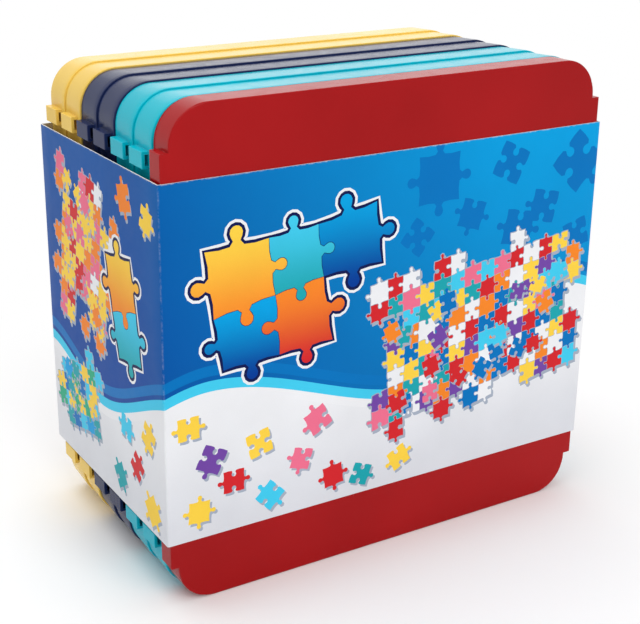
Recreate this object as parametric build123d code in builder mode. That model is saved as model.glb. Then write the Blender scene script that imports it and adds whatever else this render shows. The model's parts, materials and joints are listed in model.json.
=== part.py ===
from build123d import *
import os
from math import atan, degrees

# A stack of drafted sorting trays standing on edge under a lid, held by a printed card sleeve.
# X runs left to right, Y away from the front face, Z up. The origin is the middle of the
# bounding box's bottom. Every size is in millimetres.

# ---------------------------------------------------------------- trays
tray_colours = ["teal_front", "teal_rear", "navy_front", "navy_rear", "yellow_front", "yellow_rear"]
tray_width = 207.6          # across the rim, left to right
tray_height = 207.8         # across the rim, bottom to top as the stack stands
rim_corner_radius = 16.5
tray_pitch = 17.5           # from one rim to the next in the stack
tray_wall = 2.0
tray_floor = 2.0
rim_band = 2.5              # the undrafted strip beside the rim, which the stack stands on
base_inset = 0.7            # how far the draft draws each side in by the base
rim_round = 0.4
base_round = 0.5

# the foot under each tray, which nests in the rim behind it
foot_depth = 1.2
nest_gap = 0.3
foot_wall = 2.2

# ---------------------------------------------------------------- interlocking clips
clip_spacing = 161.5        # between the middles of the two clips on a side
clip_length = 6.7
clip_reach = 2.9            # how far a clip stands out from the rim's side
clip_start = 2.8            # from the rim back to the pocket's mouth
clip_end = 14.6             # from the rim back to the pocket's blind end
clip_plate = 1.3            # the pocket's outer plate
clip_cheek = 1.2
pocket_floor = 1.4
clip_root = 1.2             # how deep a clip is rooted in the tray's wall
clip_round = 0.35
hook_gap = 0.3              # on each side of a neighbour's plate
hook_end_gap = 0.4          # between the hook's tongue and each cheek
hook_start = 0.5            # from the rim back to the hook's web
hook_seat_gap = 0.2         # between the web and the plate it straddles
tongue_end_gap = 1.6        # between the tongue's tip and the pocket's floor

# ---------------------------------------------------------------- lid
lid_depth = 12.5
lid_face = 2.0
lid_side_inset = 0.9        # how far the lid's sides lie inside the tray's rim
lid_top_inset = 0.1         # how far its top and bottom do
lid_round = 0.6
flange_length = 172.6
flange_reach = 3.6          # how far a side flange stands out from the lid's side
flange_depth = 9.1
flange_plate = 1.8
flange_root = 1.5
flange_round = 0.5

# ---------------------------------------------------------------- sleeve
board = 0.5
sleeve_height = 150.4
sleeve_side_gap = 0.8       # from the clips to the side panels
sleeve_face_gap = 0.1       # from the stack to the front panel and to the back panel
fold_radius = 0.8
flap_width = 14.0           # the glued overlap inside the right panel

# ---------------------------------------------------------------- worked-out sizes
draft = degrees(atan(base_inset / (tray_pitch - rim_band)))
inner_width = tray_width - 2 * tray_wall
inner_height = tray_height - 2 * tray_wall
inner_radius = rim_corner_radius - tray_wall
foot_width = inner_width - 2 * nest_gap
foot_height = inner_height - 2 * nest_gap
foot_radius = inner_radius - nest_gap
well_width = foot_width - 2 * foot_wall
well_height = foot_height - 2 * foot_wall
well_radius = foot_radius - foot_wall
lid_width = tray_width - 2 * lid_side_inset
lid_height = tray_height - 2 * lid_top_inset
lid_radius = rim_corner_radius - lid_top_inset

stack_depth = lid_depth + len(tray_colours) * tray_pitch + foot_depth
sleeve_inner_width = tray_width + 2 * clip_reach + 2 * sleeve_side_gap
sleeve_inner_depth = stack_depth + 2 * sleeve_face_gap
sleeve_width = sleeve_inner_width + 2 * board
sleeve_depth = sleeve_inner_depth + 2 * board

middle_z = tray_height / 2
front_y = -stack_depth / 2              # the lid's front face
clip_heights = [middle_z - clip_spacing / 2, middle_z + clip_spacing / 2]

os.makedirs("parts", exist_ok=True)


def upright(y):
    """A plane across the stack at y, looking back through it."""
    return Plane(origin=(0, y, middle_z), x_dir=(1, 0, 0), z_dir=(0, 1, 0))


# ---------------------------------------------------------------- pocket clip, for a tray's left side
# Drawn with the rim's side at x = 0, the rim at y = 0 and the clip's middle at z = 0.
with BuildPart() as pocket_clip:
    clip_depth = clip_end - clip_start
    with Locations(((clip_root - clip_reach) / 2, (clip_start + clip_end) / 2, 0)):
        Box(clip_reach + clip_root, clip_depth, clip_length)
    fillet(pocket_clip.edges().group_by(Axis.X)[0], clip_round)
    pocket_width = clip_reach - clip_plate
    pocket_depth = clip_depth - pocket_floor
    with Locations((-pocket_width / 2, clip_start + pocket_depth / 2, 0)):
        Box(pocket_width, pocket_depth, clip_length - 2 * clip_cheek, mode=Mode.SUBTRACT)

# ---------------------------------------------------------------- hook clip, for a tray's right side
# An L that drops over the plate of a neighbour's pocket clip.
with BuildPart() as hook_clip:
    hook_length = clip_length - 2 * clip_cheek - 2 * hook_end_gap
    web_depth = clip_start - hook_seat_gap - hook_start
    with Locations(((clip_reach - clip_root) / 2, hook_start + web_depth / 2, 0)):
        Box(clip_reach + clip_root, web_depth, hook_length)
    tongue_inner = clip_plate + 2 * hook_gap
    tongue_end = clip_end - pocket_floor - tongue_end_gap
    with Locations(((tongue_inner + clip_reach) / 2, (hook_start + tongue_end) / 2, 0)):
        Box(clip_reach - tongue_inner, tongue_end - hook_start, hook_length)
    fillet(hook_clip.edges().group_by(Axis.X)[-1], clip_round)


# ---------------------------------------------------------------- trays
def make_tray(rim_y):
    """One tray with its rim at rim_y, open to the front, its base and foot behind."""
    base_y = rim_y + tray_pitch
    with BuildPart() as tray:
        # the outside: an undrafted rim band, then walls that draw in to the base
        with BuildSketch(upright(rim_y)):
            RectangleRounded(tray_width, tray_height, rim_corner_radius)
        extrude(amount=rim_band)
        with BuildSketch(upright(rim_y + rim_band)):
            RectangleRounded(tray_width, tray_height, rim_corner_radius)
        extrude(amount=tray_pitch - rim_band, taper=draft)
        fillet(tray.edges().group_by(Axis.Y)[-1], base_round)
        # the foot
        with BuildSketch(upright(base_y)):
            RectangleRounded(foot_width, foot_height, foot_radius)
        extrude(amount=foot_depth)
        fillet(tray.edges().group_by(Axis.Y)[-1], rim_round)
        # the hollow, with the same band and draft as the outside
        with BuildSketch(upright(rim_y)):
            RectangleRounded(inner_width, inner_height, inner_radius)
        extrude(amount=rim_band, mode=Mode.SUBTRACT)
        with BuildSketch(upright(rim_y + rim_band)):
            RectangleRounded(inner_width, inner_height, inner_radius)
        extrude(amount=tray_pitch - rim_band - tray_floor, taper=draft, mode=Mode.SUBTRACT)
        # the floor is sunk into the foot
        with BuildSketch(upright(base_y - tray_floor)):
            RectangleRounded(well_width, well_height, well_radius)
        extrude(amount=foot_depth, mode=Mode.SUBTRACT)
        fillet(tray.edges().group_by(Axis.Y)[0], rim_round)
        # clips: pockets on the left, hooks on the right
        with Locations(*[(-tray_width / 2, rim_y, z) for z in clip_heights]):
            add(pocket_clip.part)
        with Locations(*[(tray_width / 2, rim_y, z) for z in clip_heights]):
            add(hook_clip.part)
    return tray


for place, colour in enumerate(tray_colours):
    node = make_tray(front_y + lid_depth + place * tray_pitch)
    node.part.label = "tray_" + colour
    export_step(node.part, "parts/tray_" + colour + ".step")

# ---------------------------------------------------------------- lid
with BuildPart() as lid:
    with BuildSketch(upright(front_y)):
        RectangleRounded(lid_width, lid_height, lid_radius)
    extrude(amount=lid_depth)
    fillet(lid.edges().group_by(Axis.Y)[0], lid_round)
    # the plug that nests in the front tray's rim
    with BuildSketch(upright(front_y + lid_depth)):
        RectangleRounded(foot_width, foot_height, foot_radius)
    extrude(amount=foot_depth)
    # hollow behind the face
    with BuildSketch(upright(front_y + lid_face)):
        RectangleRounded(well_width, well_height, well_radius)
    extrude(amount=lid_depth + foot_depth - lid_face, mode=Mode.SUBTRACT)
    # side flanges, flush with the face and hollow from behind
    flange_middle = lid_width / 2 + (flange_reach - flange_root) / 2
    with Locations(
        (-flange_middle, front_y + flange_depth / 2, middle_z),
        (flange_middle, front_y + flange_depth / 2, middle_z),
    ):
        Box(flange_reach + flange_root, flange_depth, flange_length)
    fillet(lid.edges().group_by(Axis.X)[0], flange_round)
    fillet(lid.edges().group_by(Axis.X)[-1], flange_round)
    channel_width = flange_reach - flange_plate
    channel_depth = flange_depth - lid_face
    channel_middle = (lid_width + channel_width) / 2
    with Locations(
        (-channel_middle, front_y + lid_face + channel_depth / 2, middle_z),
        (channel_middle, front_y + lid_face + channel_depth / 2, middle_z),
    ):
        Box(channel_width, channel_depth, flange_length - 2 * flange_plate, mode=Mode.SUBTRACT)
lid.part.label = "lid"
export_step(lid.part, "parts/lid.step")

# ---------------------------------------------------------------- sleeve
with BuildPart() as sleeve:
    with BuildSketch(Plane.XY.offset(middle_z - sleeve_height / 2)):
        RectangleRounded(sleeve_width, sleeve_depth, fold_radius)
        RectangleRounded(sleeve_inner_width, sleeve_inner_depth, fold_radius - board, mode=Mode.SUBTRACT)
    extrude(amount=sleeve_height)
    # the overlap where the band is glued closed, at the back of the right panel
    flap_x = sleeve_inner_width / 2 - board / 2
    with Locations((flap_x, (sleeve_inner_depth - flap_width) / 2, middle_z)):
        Box(board, flap_width, sleeve_height)
sleeve.part.label = "sleeve"
export_step(sleeve.part, "parts/sleeve.step")
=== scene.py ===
import json
import random
from math import ceil, cos, pi, radians, sin

import bpy
from mathutils import Matrix, Vector
from mathutils.geometry import delaunay_2d_cdt


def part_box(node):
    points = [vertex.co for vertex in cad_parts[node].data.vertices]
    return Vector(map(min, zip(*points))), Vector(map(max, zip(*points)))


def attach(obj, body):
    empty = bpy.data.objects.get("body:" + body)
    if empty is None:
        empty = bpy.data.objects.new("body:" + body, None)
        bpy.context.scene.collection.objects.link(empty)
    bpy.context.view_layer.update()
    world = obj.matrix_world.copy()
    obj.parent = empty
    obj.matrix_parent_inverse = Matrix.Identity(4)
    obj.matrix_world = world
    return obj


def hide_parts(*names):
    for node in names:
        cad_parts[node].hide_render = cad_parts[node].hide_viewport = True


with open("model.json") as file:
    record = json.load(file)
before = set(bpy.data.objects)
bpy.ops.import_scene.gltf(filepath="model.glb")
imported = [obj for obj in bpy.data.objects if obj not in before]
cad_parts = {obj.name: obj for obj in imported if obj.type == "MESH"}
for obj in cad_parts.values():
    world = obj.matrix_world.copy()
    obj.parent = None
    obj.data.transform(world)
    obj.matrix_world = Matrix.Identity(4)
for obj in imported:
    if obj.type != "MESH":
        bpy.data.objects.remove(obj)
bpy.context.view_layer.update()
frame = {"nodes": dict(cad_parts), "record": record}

# A stack of sorting trays under a lid, in a printed card sleeve. The trays and the lid keep their
# solids and get a plastic; the sleeve becomes one folded sheet whose print is cut into its mesh.

MM = 0.001

# ---------------------------------------------------------------- the sleeve's sizes, in metres
SLEEVE_LOW, SLEEVE_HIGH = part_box("sleeve")
TALL = SLEEVE_HIGH.z - SLEEVE_LOW.z
BOARD = 0.0005               # thickness of the card
FOLD = 0.00055               # radius of the card's middle at a fold
FLAP = 0.014                 # the glued overlap inside the right panel
CUT_BACK = 0.0005            # how far the right panel's cut edge stops short of the back
FOLD_STEPS = 5
COLUMN_STEP = 0.008          # between the upright grid lines that carry the print's colour changes
ROWS = 18                    # level bands of that grid
SHARP_ANGLE = 40             # degrees between faces above which an edge of the mesh stays sharp
SAME_SPOT = 1e-7             # points closer than this count as one
SPOT_DIGITS = 7              # decimals that tell two points apart
HAIR = 1e-9                  # slack in comparing distances along the card

# ---------------------------------------------------------------- the camera, fitted to the photograph
CAMERA_PLACE = (-0.29985, -0.47531, 0.30228)
CAMERA_RIGHT = (0.86652, -0.49914, -0.0004)
CAMERA_AHEAD = (0.47098, 0.81789, -0.33051)
SENSOR_MM = 36.0
LENS_MM = 72.87
SHIFT = (0.0781, -0.05)

# ---------------------------------------------------------------- the studio
FLOOR_REACH = 12.0
SHADOW_REACH = (0.12, 0.30)  # from where the floor fades to plain white, and where it is fully so
FLOOR_TONES = ((0.93, 0.93, 0.93), (0.96, 0.96, 0.96))
WORLD_LEVEL = 0.62
LAMPS = [
    # name, place, what it is aimed at, width and height, watts
    ("key", (0.0, -1.5, 1.2), (0, 0, 0.1), (1.2, 1.2), 12),
    ("top", (-0.2, 0.35, 1.5), (0, 0, 0.1), (1.4, 1.4), 11),
    ("rear", (0.85, 1.45, 0.75), (0, 0, 0.18), (1.7, 1.0), 1.5),
]


def within(share):
    """The share held between 0 and 1."""
    return min(max(share, 0.0), 1.0)


def srgb(red, green, blue):
    """A colour written in 0 to 255 display values, as linear light."""
    values = [value / 255 for value in (red, green, blue)]
    return tuple(v / 12.92 if v <= 0.04045 else ((v + 0.055) / 1.055) ** 2.4 for v in values)


PLASTICS = {
    # slot: (colour, the deeper colour it drifts to)
    "yellow_plastic": (srgb(238, 202, 98), srgb(230, 192, 86)),
    "navy_plastic": (srgb(32, 44, 84), srgb(24, 36, 76)),
    "teal_plastic": (srgb(0, 182, 200), srgb(0, 170, 190)),
    "red_plastic": (srgb(164, 14, 18), srgb(154, 10, 14)),
}

INKS = {
    "white": srgb(232, 233, 236),
    "pale": srgb(214, 216, 222),
    "shade": srgb(160, 170, 186),
    "navy": srgb(12, 24, 78),
    "deep": srgb(0, 56, 146),
    "blue": srgb(0, 112, 184),
    "sky": srgb(0, 158, 220),
    "cyan": srgb(64, 198, 232),
    "teal": srgb(28, 160, 170),
    "green": srgb(40, 170, 130),
    "yellow": srgb(246, 206, 70),
    "orange": srgb(240, 132, 40),
    "red": srgb(206, 38, 44),
    "pink": srgb(232, 110, 140),
    "purple": srgb(112, 70, 160),
}
BARE_BOARD = srgb(236, 234, 228)            # where the print is rubbed through
INSIDE_TONES = (srgb(216, 212, 204), srgb(196, 190, 180))
CUT_EDGE_TONES = (srgb(246, 246, 244), srgb(232, 230, 226))

PLASTIC_SPECULAR, CARD_SPECULAR, BARE_SPECULAR = 0.12, 0.06, 0.2
PLASTIC_IOR, LAMINATE_IOR = 1.5, 1.48
WORN_HIGHLIGHT_WIDTH = 0.0006                       # beside a plastic edge, where it is paled partly as rubbed wear and partly as a painted highlight
WORN_HIGHLIGHT_PALE = 0.20                          # how far a rubbed edge goes towards pale grey: partly wear, partly a painted highlight
PALE_GREY = 0.75
FOLD_WEAR_WIDTH, CUT_WEAR_WIDTH, CREASE_WIDTH = 0.0008, 0.0006, 0.0016
PRINT_DOTS = 5200.0                         # dots of ink to the metre
BEVEL_SAMPLES = 4


# ---------------------------------------------------------------- material helpers
class Shading:
    """A node material on a Principled shader, with short calls for the nodes that it is built from."""

    def __init__(self, name):
        self.material = bpy.data.materials.new(name)
        self.material.use_nodes = True
        self.nodes = self.material.node_tree.nodes
        self.links = self.material.node_tree.links
        self.shader = self.nodes["Principled BSDF"]
        self.place = self.nodes.new("ShaderNodeTexCoord").outputs["Object"]

    def feed(self, socket, value):
        """Links an output to the socket, or sets a number or colour on it."""
        if isinstance(value, bpy.types.NodeSocket):
            self.links.new(value, socket)
        else:
            socket.default_value = value

    def noise(self, scale, detail=2.0, roughness=0.5, distortion=0.0, place=None):
        node = self.nodes.new("ShaderNodeTexNoise")
        self.feed(node.inputs["Vector"], place or self.place)
        node.inputs["Scale"].default_value = scale
        node.inputs["Detail"].default_value = detail
        node.inputs["Roughness"].default_value = roughness
        node.inputs["Distortion"].default_value = distortion
        return node.outputs["Fac"]

    def stretched(self, factors):
        """Object coordinates multiplied by those factors."""
        node = self.nodes.new("ShaderNodeMapping")
        self.feed(node.inputs["Vector"], self.place)
        node.inputs["Scale"].default_value = factors
        return node.outputs["Vector"]

    def remap(self, value, low, high, to_low, to_high):
        node = self.nodes.new("ShaderNodeMapRange")
        self.feed(node.inputs["Value"], value)
        ends = {"From Min": low, "From Max": high, "To Min": to_low, "To Max": to_high}
        for socket, number in ends.items():
            node.inputs[socket].default_value = number
        return node.outputs["Result"]

    def math(self, operation, *values):
        node = self.nodes.new("ShaderNodeMath")
        node.operation = operation
        for socket, value in zip(node.inputs, values):
            self.feed(socket, value)
        return node.outputs["Value"]

    def mix(self, share, first, second, blend="MIX"):
        node = self.nodes.new("ShaderNodeMix")
        node.data_type = "RGBA"
        node.blend_type = blend
        self.feed(node.inputs["Factor"], share)
        for socket, value in ((node.inputs[6], first), (node.inputs[7], second)):
            self.feed(socket, (*value, 1) if isinstance(value, tuple) else value)
        return node.outputs[2]

    def bump(self, height, strength, distance, below=None):
        node = self.nodes.new("ShaderNodeBump")
        self.feed(node.inputs["Height"], height)
        node.inputs["Strength"].default_value = strength
        node.inputs["Distance"].default_value = distance
        if below is not None:
            self.feed(node.inputs["Normal"], below)
        return node.outputs["Normal"]

    def set(self, **values):
        """Sets or links the shader's sockets, named in lower case with underscores."""
        sockets = {s.name.lower().replace(" ", "_"): s for s in self.shader.inputs}
        for name, value in values.items():
            self.feed(sockets[name], (*value, 1) if isinstance(value, tuple) else value)


def edge_mask(shading, radius):
    """1 near the object's sharp edges and 0 on its flats, from rounded against plain normals."""
    bevel = shading.nodes.new("ShaderNodeBevel")
    bevel.samples = BEVEL_SAMPLES
    bevel.inputs["Radius"].default_value = radius
    plain = shading.nodes.new("ShaderNodeNewGeometry").outputs["Normal"]
    dot = shading.nodes.new("ShaderNodeVectorMath")
    dot.operation = "DOT_PRODUCT"
    shading.feed(dot.inputs[0], bevel.outputs["Normal"])
    shading.feed(dot.inputs[1], plain)
    return shading.remap(dot.outputs["Value"], 0.98, 0.80, 0.0, 1.0)


def plastic(name, colour, deep):
    """Glossy injection-moulded plastic: colour drift, flow ripples, fine scuffs, and sharp edges paled
    partly as rubbed wear and partly as a painted highlight.
    """
    s = Shading(name)
    drift = s.noise(14.0, 3.0)
    body = s.mix(s.remap(drift, 0.35, 0.65, 0.0, 1.0), deep, colour)
    patches = s.remap(s.noise(320.0, 4.0), 0.42, 0.66, 0.0, 0.42)
    # Painted highlight: the sharp edges go paler towards grey in patches, partly as rubbed wear and partly
    # as painted light.
    worn_and_highlit = s.math("MULTIPLY", edge_mask(s, WORN_HIGHLIGHT_WIDTH), patches)
    paler_worn_and_highlit = tuple((1 - WORN_HIGHLIGHT_PALE) * c + WORN_HIGHLIGHT_PALE * PALE_GREY for c in colour)
    scuffs = s.noise(90.0, 6.0, 0.65, 1.4, s.stretched((1.0, 1.0, 0.35)))
    gloss = s.remap(scuffs, 0.35, 0.70, 0.16, 0.27)
    ripple = s.bump(s.noise(38.0, 1.0), 0.10, 0.0006)
    grain = s.bump(s.noise(2600.0, 2.0), 0.06, 0.00004, ripple)
    s.set(
        base_color=s.mix(worn_and_highlit, body, paler_worn_and_highlit),
        roughness=s.math("ADD", gloss, s.math("MULTIPLY", worn_and_highlit, 0.25)),
        normal=grain,
        ior=PLASTIC_IOR,
    )
    s.shader.inputs["Specular IOR Level"].default_value = PLASTIC_SPECULAR
    return s.material


def fold_and_edge_distance(s):
    """How far a point on the sleeve is from the nearest fold, and from its lower or upper cut edge."""
    split = s.nodes.new("ShaderNodeSeparateXYZ")
    s.feed(split.inputs[0], s.place)
    to_side = s.math("SUBTRACT", SLEEVE_HIGH.x, s.math("ABSOLUTE", split.outputs["X"]))
    to_face = s.math("SUBTRACT", SLEEVE_HIGH.y, s.math("ABSOLUTE", split.outputs["Y"]))
    to_fold = s.math("MAXIMUM", to_side, to_face)
    to_lower = s.math("SUBTRACT", split.outputs["Z"], SLEEVE_LOW.z)
    to_upper = s.math("SUBTRACT", SLEEVE_HIGH.z, split.outputs["Z"])
    return to_fold, s.math("MINIMUM", to_lower, to_upper)


def printed_card():
    """The print under a clear laminate, rubbed through to white board along the folds and cut edges."""
    s = Shading("printed_card")
    ink = s.nodes.new("ShaderNodeAttribute")
    ink.attribute_name = "ink"
    to_fold, to_cut = fold_and_edge_distance(s)
    fray = s.noise(420.0, 5.0, 0.7)
    near_fold = s.remap(to_fold, 0.0, FOLD_WEAR_WIDTH, 1.0, 0.0)
    near_cut = s.remap(to_cut, 0.0, CUT_WEAR_WIDTH, 1.0, 0.0)
    at_fold = s.math("MULTIPLY", near_fold, s.remap(fray, 0.44, 0.66, 0.0, 0.24))
    at_cut = s.math("MULTIPLY", near_cut, s.remap(fray, 0.44, 0.66, 0.0, 0.45))
    worn = s.math("MAXIMUM", at_fold, at_cut)
    press = s.remap(s.noise(30.0, 3.0), 0.3, 0.7, 0.965, 1.03)
    dots = s.nodes.new("ShaderNodeTexVoronoi")
    s.feed(dots.inputs["Vector"], s.place)
    dots.inputs["Scale"].default_value = PRINT_DOTS
    screen = s.remap(dots.outputs["Distance"], 0.0, 0.9, 0.97, 1.02)
    tone = s.math("MULTIPLY", press, screen)
    toned = s.mix(1.0, ink.outputs["Color"], tone, "MULTIPLY")
    scuff = s.noise(70.0, 7.0, 0.7, 2.0)
    fibre = s.noise(1500.0, 3.0)
    crease = s.bump(s.remap(to_fold, 0.0, CREASE_WIDTH, 0.0, 1.0), 0.35, 0.00008)
    waves = s.bump(s.noise(24.0, 2.0), 0.12, 0.0006, crease)
    gloss = s.remap(scuff, 0.3, 0.7, 0.30, 0.42)
    s.set(
        base_color=s.mix(worn, toned, BARE_BOARD),
        roughness=s.math("ADD", gloss, s.math("MULTIPLY", worn, 0.35)),
        normal=s.bump(fibre, 0.05, 0.00005, waves),
        ior=LAMINATE_IOR,
    )
    s.shader.inputs["Specular IOR Level"].default_value = CARD_SPECULAR
    return s.material


def bare_card(name, colour, deep, layers):
    """Uncoated board: short fibres, and at a cut edge the layers that it is pressed from."""
    s = Shading(name)
    fibres = s.noise(900.0, 6.0, 0.75, 0.8, s.stretched((1.0, 1.0, layers)))
    cloud = s.remap(s.noise(28.0, 4.0), 0.3, 0.7, 0.5, 1.0)
    shade = s.math("MULTIPLY", s.remap(fibres, 0.3, 0.7, 0.0, 1.0), cloud)
    s.set(
        base_color=s.mix(shade, deep, colour),
        roughness=s.remap(fibres, 0.3, 0.7, 0.78, 0.92),
        normal=s.bump(fibres, 0.25, 0.00008),
    )
    s.shader.inputs["Specular IOR Level"].default_value = BARE_SPECULAR
    return s.material


# ---------------------------------------------------------------- the sleeve's path round the stack
def sleeve_path():
    """Samples (distance, point, outward) along the card's middle, from the flap to the right panel's end."""
    side, face = SLEEVE_HIGH.x - BOARD / 2, SLEEVE_HIGH.y - BOARD / 2
    corners = [
        Vector((side - BOARD, face - FLAP)),
        Vector((side - BOARD, face)),
        Vector((-side, face)),
        Vector((-side, -face)),
        Vector((side, -face)),
        Vector((side, face - CUT_BACK)),
    ]
    points = [corners[0]]
    for before, corner, after in zip(corners, corners[1:], corners[2:]):
        into, out = (corner - before).normalized(), (after - corner).normalized()
        centre = corner - into * FOLD + out * FOLD
        for step in range(FOLD_STEPS + 1):
            turn = pi / 2 * step / FOLD_STEPS
            points.append(centre - out * FOLD * cos(turn) + into * FOLD * sin(turn))
    points.append(corners[-1])
    samples, distance = [], 0.0
    for i, point in enumerate(points):
        if i:
            distance += (point - points[i - 1]).length
        behind = (point - points[i - 1]).normalized() if i else (points[1] - point).normalized()
        ahead = (points[i + 1] - point).normalized() if i + 1 < len(points) else behind
        along = (behind + ahead).normalized()
        samples.append((distance, point, Vector((along.y, -along.x))))
    return samples


PATH = sleeve_path()
PATH_END = PATH[-1][0]


def place_on_card(s, z, side):
    """The point at distance s and height z, on the card's outside (side 1) or inside (side -1)."""
    for (s0, p0, n0), (s1, p1, n1) in zip(PATH, PATH[1:]):
        if s <= s1 + HAIR:
            break
    share = within((s - s0) / (s1 - s0))
    spot = p0.lerp(p1, share) + n0.lerp(n1, share) * side * BOARD / 2
    return (spot.x, spot.y, SLEEVE_LOW.z + z)


def fold_distance(number):
    """How far along the path the card turns its first, second, third or fourth corner."""
    start = 1 + number * (FOLD_STEPS + 1)
    return (PATH[start][0] + PATH[start + FOLD_STEPS][0]) / 2


# each panel's left end as seen from outside, as a distance along the path
BACK, LEFT, FRONT, RIGHT = (fold_distance(number) for number in range(4))


# ---------------------------------------------------------------- jigsaw shapes for the print
# A side's profile is in shares of its length: half of its neck, then a round head.
NECK = [(0.0, 0.0), (0.22, -0.018), (0.385, -0.004), (0.437, 0.06)]
HEAD_RADIUS, HEAD_HEIGHT = 0.108, 0.175


def tab_profile(head_angles):
    """One side of a piece from 0 to 1, with a round-headed tab in its middle."""
    turns = [radians(angle) for angle in head_angles]
    head = [(0.5 + HEAD_RADIUS * cos(a), HEAD_HEIGHT + HEAD_RADIUS * sin(a)) for a in turns]
    return NECK + head + [(1 - t, h) for t, h in reversed(NECK[1:])]


FINE = tab_profile((212, 180, 148, 119, 90, 61, 32, 0, -32))
COARSE = tab_profile((205, 145, 90, 35, -25))


def side_points(a, b, tab, profile):
    """The outline from a towards b, with a tab to its right (1) or to its left (-1)."""
    along = b - a
    across = Vector((along.y, -along.x))
    return [a + along * t + across * h * tab for t, h in profile]


def piece_outline(corners, tabs, profile):
    """A closed outline from four corners in anticlockwise order, with each side's tab."""
    outline = []
    for i, tab in enumerate(tabs):
        outline += side_points(corners[i], corners[(i + 1) % 4], tab, profile)
    return outline


def loose_piece(centre, size, angle, chance):
    """A single piece, turned by that angle in degrees, with tabs and sockets drawn by chance."""
    a, r = radians(angle), size / 2
    corners = []
    for x, y in ((-1, -1), (1, -1), (1, 1), (-1, 1)):
        across, up = x * cos(a) - y * sin(a), x * sin(a) + y * cos(a)
        corners.append(Vector((centre[0] + r * across, centre[1] + r * up)))
    return piece_outline(corners, [chance.choice((1, -1)) for _ in range(4)], FINE)


def grid_pieces(across, up, warp, chance, profile, left_out=()):
    """Interlocking pieces in a grid: {(column, row): outline}, with outward tabs round the outside."""
    def there(i, j):
        return 0 <= i < across and 0 <= j < up and (i, j) not in left_out

    def tab(owner, other):
        if there(*owner) == there(*other):
            return chance.choice((1, -1))
        return 1 if there(*owner) else -1

    level = {(i, j): tab((i, j), (i, j - 1)) for i in range(across) for j in range(up + 1)}
    upright = {(i, j): tab((i - 1, j), (i, j)) for i in range(across + 1) for j in range(up)}
    pieces = {}
    for i in range(across):
        for j in range(up):
            if (i, j) in left_out:
                continue
            a, b, c, d = warp(i, j), warp(i + 1, j), warp(i + 1, j + 1), warp(i, j + 1)
            tabs = (level[i, j], upright[i + 1, j], -level[i, j + 1], -upright[i, j])
            pieces[i, j] = piece_outline((a, b, c, d), tabs, profile)
    return pieces


def grown(outline, distance):
    """The outline moved outward by that distance (inward if negative); it runs anticlockwise."""
    moved = []
    count = len(outline)
    for i, point in enumerate(outline):
        along = (outline[(i + 1) % count] - outline[i - 1]).normalized()
        moved.append(point + Vector((along.y, -along.x)) * distance)
    return moved


# ---------------------------------------------------------------- the print
# Every shape is an (outline, ink) pair in metres on the unrolled card, laid over those before it.
# An ink gives the colour at a point.
DISC_CORNERS = 20
UNEVEN = 0.06                # how far the corners of the pieces stray, as a share of a piece
PIECE_GAP = 0.00014          # how far each piece in a group draws in from its outline
PATCH_RIM = 0.00035
WHITE_RIM, NAVY_RIM = 0.0024, 0.0012
FINEST_FILLED_RIM = 0.001    # rims wider than this get their corners filled
PATCH_SHADOW, LOOSE_SHADOW = (0.0008, -0.0011), (0.0009, -0.0012)
EDGE_GAPS, NEXT_GAPS = 0.45, 0.10           # share of pieces missing from a patch's border and next to it
LOOSE_SIZE = 0.0105
HEAPED_SHARE = 0.95          # size of a piece heaped on a patch, as a share of the patch's cell
WAVE_STEP = 0.003
OVERHANG = 0.02              # how far the ground and the sweeps run past the card's ends
MIXED = [
    "white", "white", "red", "orange", "yellow", "cyan", "white", "purple", "pink", "yellow", "red",
    "teal", "blue",
]
WARM = ["yellow", "orange", "red", "white", "yellow", "orange", "red", "pink", "yellow"]
COOL = ["cyan", "teal", "yellow", "green", "sky", "cyan", "yellow", "white", "blue"]
shapes = []


def flat(name):
    """One ink all over."""
    return lambda s, z: INKS[name]


def fading(first, second, start, end):
    """A colour that runs from the first ink at height start to the second at height end."""
    first, second = Vector(INKS[first]), Vector(INKS[second])

    def ink(s, z):
        share = within((z - start) / (end - start))
        return tuple(first.lerp(second, share * share * (3 - 2 * share)))

    return ink


def background(s, z):
    """Deep blue low on the side panels, brighter towards the top and across the front."""
    rise = within(z / TALL)
    low, high = Vector(INKS["deep"]), Vector(INKS["sky"])
    if s < RIGHT:
        front_share = within((s - FRONT + 0.02) / 0.19)
    else:
        front_share = 1.0 - (s - RIGHT) / (PATH_END - RIGHT)
    share = 0.02 + 0.56 * rise * (0.25 + 0.75 * front_share) + 0.36 * front_share
    return tuple(low.lerp(high, within(share)))


def wave(heights):
    """A smooth line through (distance, height) points."""
    line = []
    for (s0, z0), (s1, z1) in zip(heights, heights[1:]):
        count = ceil((s1 - s0) / WAVE_STEP)
        for i in range(count):
            t = i / count
            line.append(Vector((s0 + (s1 - s0) * t, z0 + (z1 - z0) * t * t * (3 - 2 * t))))
    line.append(Vector(heights[-1]))
    return line


def band(line, start, end, name):
    """A ribbon of one ink along the line, between two heights above it."""
    low = [p + Vector((0, start)) for p in line]
    high = [p + Vector((0, end)) for p in line]
    shapes.append((low + high[::-1], flat(name)))


def disc(centre, radius):
    corners = [2 * pi * k / DISC_CORNERS for k in range(DISC_CORNERS)]
    return [centre + Vector((cos(a), sin(a))) * radius for a in corners]


def neck_discs(outlines, width):
    """Discs that fill a rim's corners beside the tabs' necks, one for each side, shared or not."""
    discs = {}
    for outline in outlines:
        per_side = len(outline) // 4
        for start in range(0, len(outline), per_side):
            side = outline[start:start + per_side]
            neck, neck_beyond = side[len(NECK) - 1], side[1 - len(NECK)]
            middle = (neck + neck_beyond) / 2
            key = (round(middle.x / MM), round(middle.y / MM))      # alike for both neighbours
            discs.setdefault(key, disc(middle, (neck_beyond - neck).length / 2 + width))
    return list(discs.values())


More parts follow.
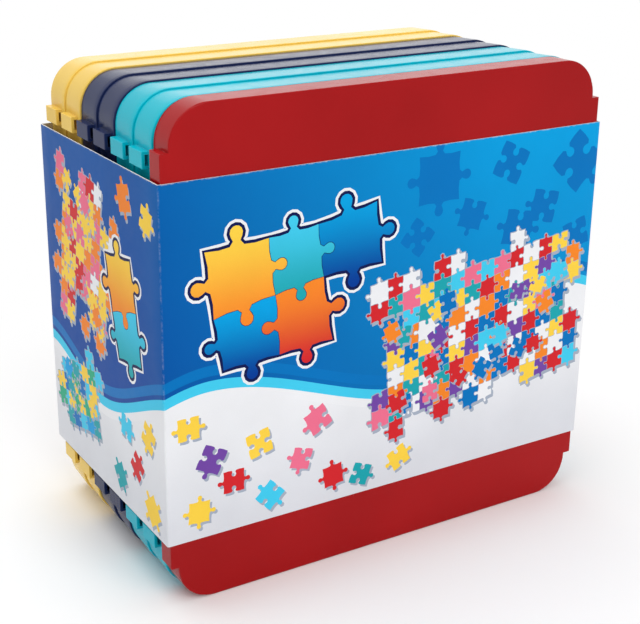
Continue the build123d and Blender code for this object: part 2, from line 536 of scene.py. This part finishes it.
def add_group(pieces, inks, rim_inks, shadow):
    """Interlocked pieces, rims in other inks round the whole group, and its shadow if it has one."""
    outlines = list(pieces.values())
    if shadow:
        widest = rim_inks[0][1]
        for outline in outlines:
            shapes.append(([p + Vector(shadow) for p in grown(outline, widest)], flat("shade")))
    for name, width in rim_inks:
        for outline in outlines:
            shapes.append((grown(outline, width), flat(name)))
        if width > FINEST_FILLED_RIM:
            shapes.extend((shape, flat(name)) for shape in neck_discs(outlines, width))
    for outline, ink in zip(outlines, inks):
        shapes.append((grown(outline, -PIECE_GAP), ink))


def tilted(origin, cell, angle, lean=0.0):
    """A warp from grid places to the card: uneven cells from an origin, turned and leaned over."""
    a = radians(angle)

    def warp(i, j):
        x = (i + j * lean + UNEVEN * sin(3.1 * i + 5.3 * j)) * cell
        y = (j + UNEVEN * cos(4.7 * i + 2.9 * j)) * cell
        return Vector((origin[0] + x * cos(a) - y * sin(a), origin[1] + x * sin(a) + y * cos(a)))

    return warp


def ragged_patch(origin, cell, cells, angle, palette, seed, heaped, lean=0.0):
    """A half-finished jigsaw: small bright pieces, gaps in their border, and loose ones on top."""
    across, up = cells
    chance = random.Random(seed)
    warp = tilted(origin, cell, angle, lean)
    pieces = grid_pieces(across, up, warp, chance, COARSE)
    gaps = {0: EDGE_GAPS, 1: NEXT_GAPS}
    for i, j in list(pieces):
        ring = min(i, j, across - 1 - i, up - 1 - j)
        if ring in gaps and chance.random() < gaps[ring]:
            del pieces[i, j]
    names = {}
    for i, j in pieces:
        beside = (names.get((i - 1, j)), names.get((i, j - 1)))
        names[i, j] = chance.choice([name for name in palette if name not in beside])
    add_group(pieces, [flat(name) for name in names.values()], [("shade", PATCH_RIM)], PATCH_SHADOW)
    heap = [warp(chance.uniform(1, across - 1), chance.uniform(1, up - 1)) for _ in range(heaped)]
    scatter(heap, cell * HEAPED_SHARE, seed + 100, palette)


def big_pieces(origin, cell, angle, seed, colours):
    """Large interlocked pieces with a white and a navy rim, lowest row first; None leaves one out."""
    chance = random.Random(seed)
    across, up = len(colours[0]), len(colours)
    left_out = [(i, j) for i in range(across) for j in range(up) if not colours[j][i]]
    pieces = grid_pieces(across, up, tilted(origin, cell, angle), chance, FINE, left_out)
    inks = []
    for (i, j), outline in pieces.items():
        heights = [p.y for p in outline]
        inks.append(fading(*colours[j][i], min(heights), max(heights)))
    add_group(pieces, inks, [("white", WHITE_RIM), ("navy", NAVY_RIM)], None)


def scatter(places, size, seed, palette=MIXED):
    """Loose pieces with a shadow each, none of them white."""
    chance = random.Random(seed)
    bright = [name for name in palette if name != "white"]
    for s, z in places:
        outline = loose_piece((s, z), size * chance.uniform(0.86, 1.1), chance.uniform(0, 90), chance)
        shapes.append(([p + Vector(LOOSE_SHADOW) for p in outline], flat("shade")))
        shapes.append((outline, flat(chance.choice(bright))))


def faint_pieces(places, size, seed):
    """Loose pieces in a tone near the background's."""
    chance = random.Random(seed)
    for s, z in places:
        outline = loose_piece((s, z), size * chance.uniform(0.7, 1.25), chance.uniform(0, 90), chance)
        shapes.append((outline, flat("blue")))


def on(panel, places):
    """Places given in millimetres from a panel's lower left corner, as places on the card."""
    return [(panel + x * MM, z * MM) for x, z in places]


def lay_out_ground():
    """Faint pieces in the sky, and below them the sweeps and the pale ground."""
    sky_places = (
        (128, 136), (146, 118), (166, 138), (186, 116), (204, 134), (118, 112), (172, 108), (206, 100),
    )
    faint_pieces(on(FRONT, sky_places), 0.017, 15)
    faint_pieces(on(BACK, ((24, 134), (52, 118), (78, 138), (108, 124), (12, 108))), 0.017, 16)
    faint_pieces(on(RIGHT, ((14, 108), (98, 136), (108, 92), (60, 140))), 0.015, 17)
    horizon = wave([
        (-OVERHANG, 0.050), (BACK + 0.10, 0.088), (LEFT, 0.046), (LEFT + 0.055, 0.034),
        (FRONT + 0.02, 0.060), (FRONT + 0.12, 0.036), (RIGHT - 0.02, 0.074), (RIGHT + 0.07, 0.040),
        (PATH_END + OVERHANG, 0.052),
    ])
    band(horizon, 0.0105, 0.0150, "blue")
    band(horizon, 0.0035, 0.0085, "cyan")
    band(horizon, 0.0, 0.0040, "white")
    border = [Vector((-OVERHANG, -OVERHANG)), Vector((PATH_END + OVERHANG, -OVERHANG))]
    shapes.append((border + horizon[::-1], fading("white", "pale", 0.06, 0.0)))


def lay_out_front():
    ragged_patch((FRONT + 0.098, 0.020), 0.0082, (14, 9), 9.0, MIXED, seed=5, heaped=22, lean=0.12)
    big_pieces((FRONT + 0.026, 0.070), 0.0255, 7.0, 3, [
        [("deep", "sky"), ("red", "orange"), None],
        [("orange", "yellow"), ("teal", "cyan"), ("deep", "sky")],
    ])
    loose_places = (
        (14, 12), (30, 22), (47, 11), (20, 34), (62, 24), (78, 12), (42, 36), (92, 9), (70, 40),
        (10, 50), (112, 12),
    )
    scatter(on(FRONT, loose_places), LOOSE_SIZE, 8)


def lay_out_left():
    ragged_patch((LEFT + 0.004, 0.070), 0.0082, (8, 9), -8.0, WARM, seed=11, heaped=14, lean=0.05)
    ragged_patch((LEFT + 0.008, 0.012), 0.0078, (7, 5), 10.0, COOL, seed=13, heaped=8)
    big_pieces((LEFT + 0.078, 0.066), 0.022, 12.0, 4, [[("teal", "cyan")], [("orange", "yellow")]])
    loose_places = ((74, 12), (92, 24), (106, 10), (82, 38), (104, 42), (108, 134), (88, 138))
    scatter(on(LEFT, loose_places), LOOSE_SIZE, 9)


def lay_out_back():
    ragged_patch((BACK + 0.028, 0.018), 0.0092, (10, 10), -5.0, MIXED, seed=21, heaped=20)
    big_pieces((BACK + 0.128, 0.070), 0.030, -9.0, 6, [
        [("teal", "cyan"), ("red", "orange")],
        [("deep", "sky"), ("orange", "yellow")],
    ])
    loose_places = ((142, 16), (164, 30), (186, 14), (128, 34), (200, 40), (176, 44))
    scatter(on(BACK, loose_places), LOOSE_SIZE, 10)


def lay_out_right():
    big_pieces((RIGHT + 0.024, 0.078), 0.030, -8.0, 7, [[("red", "orange"), ("deep", "sky")]])
    ragged_patch((RIGHT + 0.030, 0.012), 0.0084, (8, 6), 6.0, WARM, seed=31, heaped=10)
    scatter(on(RIGHT, ((12, 16), (16, 44), (108, 20), (104, 60), (18, 70))), LOOSE_SIZE, 12)


def lay_out_print():
    """The design on all four panels, each shape over those before it."""
    lay_out_ground()
    lay_out_front()
    lay_out_left()
    lay_out_back()
    lay_out_right()


# ---------------------------------------------------------------- the sleeve's mesh
def sheet_lines():
    """Vertical lines at every bend of the card and a coarse grid between, and level lines across it."""
    columns = [0.0]
    for distance, _, _ in PATH[1:]:
        gap = distance - columns[-1]
        count = max(1, ceil(gap / COLUMN_STEP))
        start = columns[-1]
        columns += [start + gap * i / count for i in range(1, count + 1)]
    rows = [TALL * i / ROWS for i in range(ROWS + 1)]
    return columns, rows


def triangulate(points, edges, outlines):
    """The card's rectangle cut into triangles: points, triangles and the outlines over each triangle."""
    verts, faces = list(points), []
    for outline in outlines:
        faces.append(list(range(len(verts), len(verts) + len(outline))))
        verts += outline
    found, _, triangles, _, _, over = delaunay_2d_cdt(verts, edges, faces, 0, SAME_SPOT)
    kept, owners = [], []
    for triangle, above in zip(triangles, over):
        middle = sum((found[i] for i in triangle), Vector((0, 0))) / len(triangle)
        if 0 < middle.x < PATH_END and 0 < middle.y < TALL:
            kept.append(triangle)
            owners.append(above)
    return found, kept, owners


def grid_input(columns, rows):
    """The grid's points, with edges up every column and along the bottom and top."""
    points = [Vector((s, z)) for s in columns for z in rows]
    at = {(i, j): i * len(rows) + j for i in range(len(columns)) for j in range(len(rows))}
    edges = [(at[i, j], at[i, j + 1]) for i in range(len(columns)) for j in range(len(rows) - 1)]
    edges += [(at[i, j], at[i + 1, j]) for i in range(len(columns) - 1) for j in (0, len(rows) - 1)]
    return points, edges


def on_border(point):
    """Whether a point of the unrolled card lies on its cut edge."""
    return min(point.x, PATH_END - point.x, point.y, TALL - point.y) < SAME_SPOT


def spot_key(point):
    return round(point.x, SPOT_DIGITS), round(point.y, SPOT_DIGITS)


class CardMesh:
    """The faces of the sleeve's mesh, with a material and corner colours for each."""

    PRINT, INSIDE, CUT_EDGE = range(3)

    def __init__(self):
        self.verts, self.index = [], {}
        self.faces, self.kinds, self.inks = [], [], []

    def vertex(self, point, side):
        key = (*spot_key(point), side)
        if key not in self.index:
            self.index[key] = len(self.verts)
            self.verts.append(place_on_card(point.x, point.y, side))
        return self.index[key]

    def add(self, ids, kind, inks):
        """A face, unless its corners run together."""
        if len(set(ids)) == len(ids):
            self.faces.append(ids)
            self.kinds.append(kind)
            self.inks.append(inks)

    def strip(self, run):
        """The cut edge between the card's two sides, along a run of border points."""
        for p, q in zip(run, run[1:]):
            ids = [self.vertex(p, 1), self.vertex(p, -1), self.vertex(q, -1), self.vertex(q, 1)]
            self.add(ids, self.CUT_EDGE, [INKS["white"]] * 4)

    def build(self, name):
        mesh = bpy.data.meshes.new(name)
        mesh.from_pydata(self.verts, [], self.faces)
        mesh.validate()
        colour = mesh.color_attributes.new("ink", "FLOAT_COLOR", "CORNER")
        values = [channel for face in self.inks for ink in face for channel in (*ink, 1.0)]
        colour.data.foreach_set("color", values)
        mesh.polygons.foreach_set("material_index", self.kinds)
        return mesh


def add_outside(card, columns, rows):
    """The printed side, cut along every shape of the print; returns the points round its border."""
    points, edges = grid_input(columns, rows)
    spots, triangles, owners = triangulate(points, edges, [outline for outline, _ in shapes])
    for triangle, above in zip(triangles, owners):
        corners = [spots[i] for i in triangle]
        ink = shapes[max(above)][1] if above else background
        card.add([card.vertex(p, 1) for p in corners], card.PRINT, [ink(p.x, p.y) for p in corners])
    used = {i for triangle in triangles for i in triangle}
    return list({spot_key(spots[i]): spots[i] for i in used if on_border(spots[i])}.values())


def add_inside(card, columns, border):
    """The bare side: the same points round its border, and only the grid's columns between."""
    points, edges = grid_input(columns, [0.0, TALL])
    spots, triangles, _ = triangulate(points + border, edges, [])
    for triangle in triangles:
        ids = [card.vertex(spots[i], -1) for i in reversed(triangle)]
        card.add(ids, card.INSIDE, [INKS["white"]] * 3)


def add_cut_edges(card, border):
    """The strips between the two sides, along the top, the bottom and the card's two ends."""
    card.strip(sorted((p for p in border if abs(p.y - TALL) < SAME_SPOT), key=lambda p: -p.x))
    card.strip(sorted((p for p in border if abs(p.y) < SAME_SPOT), key=lambda p: p.x))
    card.strip(sorted((p for p in border if abs(p.x) < SAME_SPOT), key=lambda p: -p.y))
    card.strip(sorted((p for p in border if abs(p.x - PATH_END) < SAME_SPOT), key=lambda p: p.y))


def make_sleeve():
    """One watertight folded sheet: the printed outside, the bare inside and the cut edges between."""
    lay_out_print()
    columns, rows = sheet_lines()
    card = CardMesh()
    border = add_outside(card, columns, rows)
    add_inside(card, columns, border)
    add_cut_edges(card, border)
    mesh = card.build("sleeve_card")
    mesh.materials.append(printed_card())
    mesh.materials.append(bare_card("bare_card_inside", *INSIDE_TONES, 1.0))
    mesh.materials.append(bare_card("cut_card_edge", *CUT_EDGE_TONES, 3.0))
    mesh.shade_smooth()
    mesh.set_sharp_from_angle(angle=radians(SHARP_ANGLE))
    sleeve = bpy.data.objects.new("sleeve_card", mesh)
    bpy.context.scene.collection.objects.link(sleeve)
    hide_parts("sleeve")
    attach(sleeve, "sleeve")


# ---------------------------------------------------------------- studio
def seen_or_reflected(nodes, links):
    """1 for camera rays, reflections and rays through glass, 0 for the rays that light the object."""
    rays = nodes.new("ShaderNodeLightPath")
    seen = rays.outputs["Is Camera Ray"]
    for name in ("Is Glossy Ray", "Is Transmission Ray"):
        most = nodes.new("ShaderNodeMath")
        most.operation = "MAXIMUM"
        links.new(seen, most.inputs[0])
        links.new(rays.outputs[name], most.inputs[1])
        seen = most.outputs[0]
    return seen


def make_floor():
    """A pale floor that keeps the object's shadow near it and is plain white farther out."""
    mesh = bpy.data.meshes.new("studio_floor")
    corners = [(-1, -1), (1, -1), (1, 1), (-1, 1)]
    mesh.from_pydata([(x * FLOOR_REACH, y * FLOOR_REACH, 0) for x, y in corners], [], [(0, 1, 2, 3)])
    s = Shading("studio_floor")
    s.set(base_color=s.mix(s.noise(3.0, 3.0), *FLOOR_TONES), roughness=0.9)
    s.shader.inputs["Specular IOR Level"].default_value = 0.0
    out = s.nodes.new("ShaderNodeVectorMath")
    out.operation = "LENGTH"
    s.feed(out.inputs[0], s.place)
    far = s.nodes.new("ShaderNodeMapRange")
    far.interpolation_type = "SMOOTHSTEP"
    s.feed(far.inputs["Value"], out.outputs["Value"])
    far.inputs["From Min"].default_value = SHADOW_REACH[0]
    far.inputs["From Max"].default_value = SHADOW_REACH[1]
    white = s.nodes.new("ShaderNodeEmission")
    blend = s.nodes.new("ShaderNodeMixShader")
    seen = seen_or_reflected(s.nodes, s.links)
    s.feed(blend.inputs["Fac"], s.math("MULTIPLY", far.outputs["Result"], seen))
    s.links.new(s.shader.outputs["BSDF"], blend.inputs[1])
    s.links.new(white.outputs["Emission"], blend.inputs[2])
    s.links.new(blend.outputs["Shader"], s.nodes["Material Output"].inputs["Surface"])
    mesh.materials.append(s.material)
    floor = bpy.data.objects.new("studio_floor", mesh)
    bpy.context.scene.collection.objects.link(floor)


def make_world():
    """Even light on the object; white where the camera, a reflection or glass looks out."""
    world = bpy.data.worlds.new("studio")
    world.use_nodes = True
    nodes, links = world.node_tree.nodes, world.node_tree.links
    strength = nodes.new("ShaderNodeMapRange")
    strength.inputs["To Min"].default_value = WORLD_LEVEL
    strength.inputs["To Max"].default_value = 1.0
    links.new(seen_or_reflected(nodes, links), strength.inputs["Value"])
    surround = nodes["Background"]
    surround.inputs["Color"].default_value = (1, 1, 1, 1)
    links.new(strength.outputs["Result"], surround.inputs["Strength"])
    bpy.context.scene.world = world


def soft_light(name, place, target, size, watts):
    """A rectangular lamp at a place, aimed at a target."""
    data = bpy.data.lights.new(name, "AREA")
    data.shape = "RECTANGLE"
    data.size, data.size_y = size
    data.energy = watts
    light = bpy.data.objects.new(name, data)
    light.location = place
    light.rotation_euler = (Vector(target) - Vector(place)).to_track_quat("-Z", "Y").to_euler()
    bpy.context.scene.collection.objects.link(light)


def make_camera():
    data = bpy.data.cameras.new("camera")
    data.sensor_width = SENSOR_MM
    data.lens = LENS_MM
    data.shift_x, data.shift_y = SHIFT
    camera = bpy.data.objects.new("camera", data)
    right, ahead = Vector(CAMERA_RIGHT).normalized(), Vector(CAMERA_AHEAD).normalized()
    up = right.cross(ahead)
    camera.matrix_world = Matrix((right, up, -ahead)).transposed().to_4x4()
    camera.location = CAMERA_PLACE
    bpy.context.scene.collection.objects.link(camera)
    bpy.context.scene.camera = camera


# ---------------------------------------------------------------- assembly
def finish_plastics():
    """Puts each plastic on the trays and the lid that the record gives it to."""
    finishes = {slot: plastic(slot, *colours) for slot, colours in PLASTICS.items()}
    for part in frame["record"]["subparts"]:
        if part["material_slot"] in finishes:
            mesh = frame["nodes"][part["node"]].data
            mesh.materials.clear()
            mesh.materials.append(finishes[part["material_slot"]])


finish_plastics()
make_sleeve()
make_floor()
make_world()
for lamp in LAMPS:
    soft_light(*lamp)
make_camera()

bpy.context.scene.view_settings.view_transform = "Standard"
